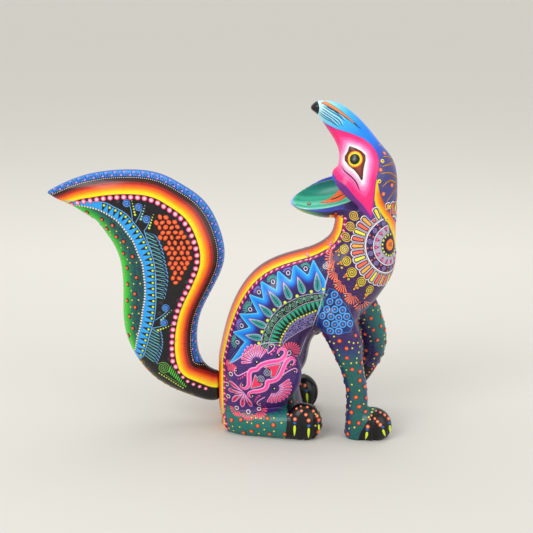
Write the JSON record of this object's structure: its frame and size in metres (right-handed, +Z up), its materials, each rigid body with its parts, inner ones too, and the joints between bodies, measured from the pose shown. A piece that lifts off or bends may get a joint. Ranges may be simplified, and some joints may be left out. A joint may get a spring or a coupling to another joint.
{
  "type": "alebrije figure",
  "caption": "Seated howling coyote carved in wood and painted all over, head thrown back over the rump, one foreleg lifted, with a large plug-in S-shaped tail.",
  "frame": {"origin": "on the floor, in the middle plane of the body, under the seat", "axes": "+X the way the chest faces, +Y the animal's left, +Z up"},
  "size_m": [0.3251, 0.108, 0.3113],
  "materials": {
    "painted_wood": "gloss",
    "hardwood": "matte"
  },
  "bodies": {
    "figure": {"body": "painted_wood", "head": "painted_wood", "lower_jaw": "painted_wood", "standing_foreleg": "painted_wood", "raised_foreleg": "painted_wood", "neck_dowel": "hardwood", "jaw_dowel": "hardwood", "standing_foreleg_dowel": "hardwood", "raised_foreleg_dowel": "hardwood"},
    "tail": {"tail": "painted_wood", "tail_tenon": "hardwood"}
  },
  "joints": [
    {"name": "tail_plug", "type": "slide", "parent": "figure", "child": "tail", "axis": [-0.9781, 0, 0.2079], "range_m": [0, 0.06]}
  ]
}
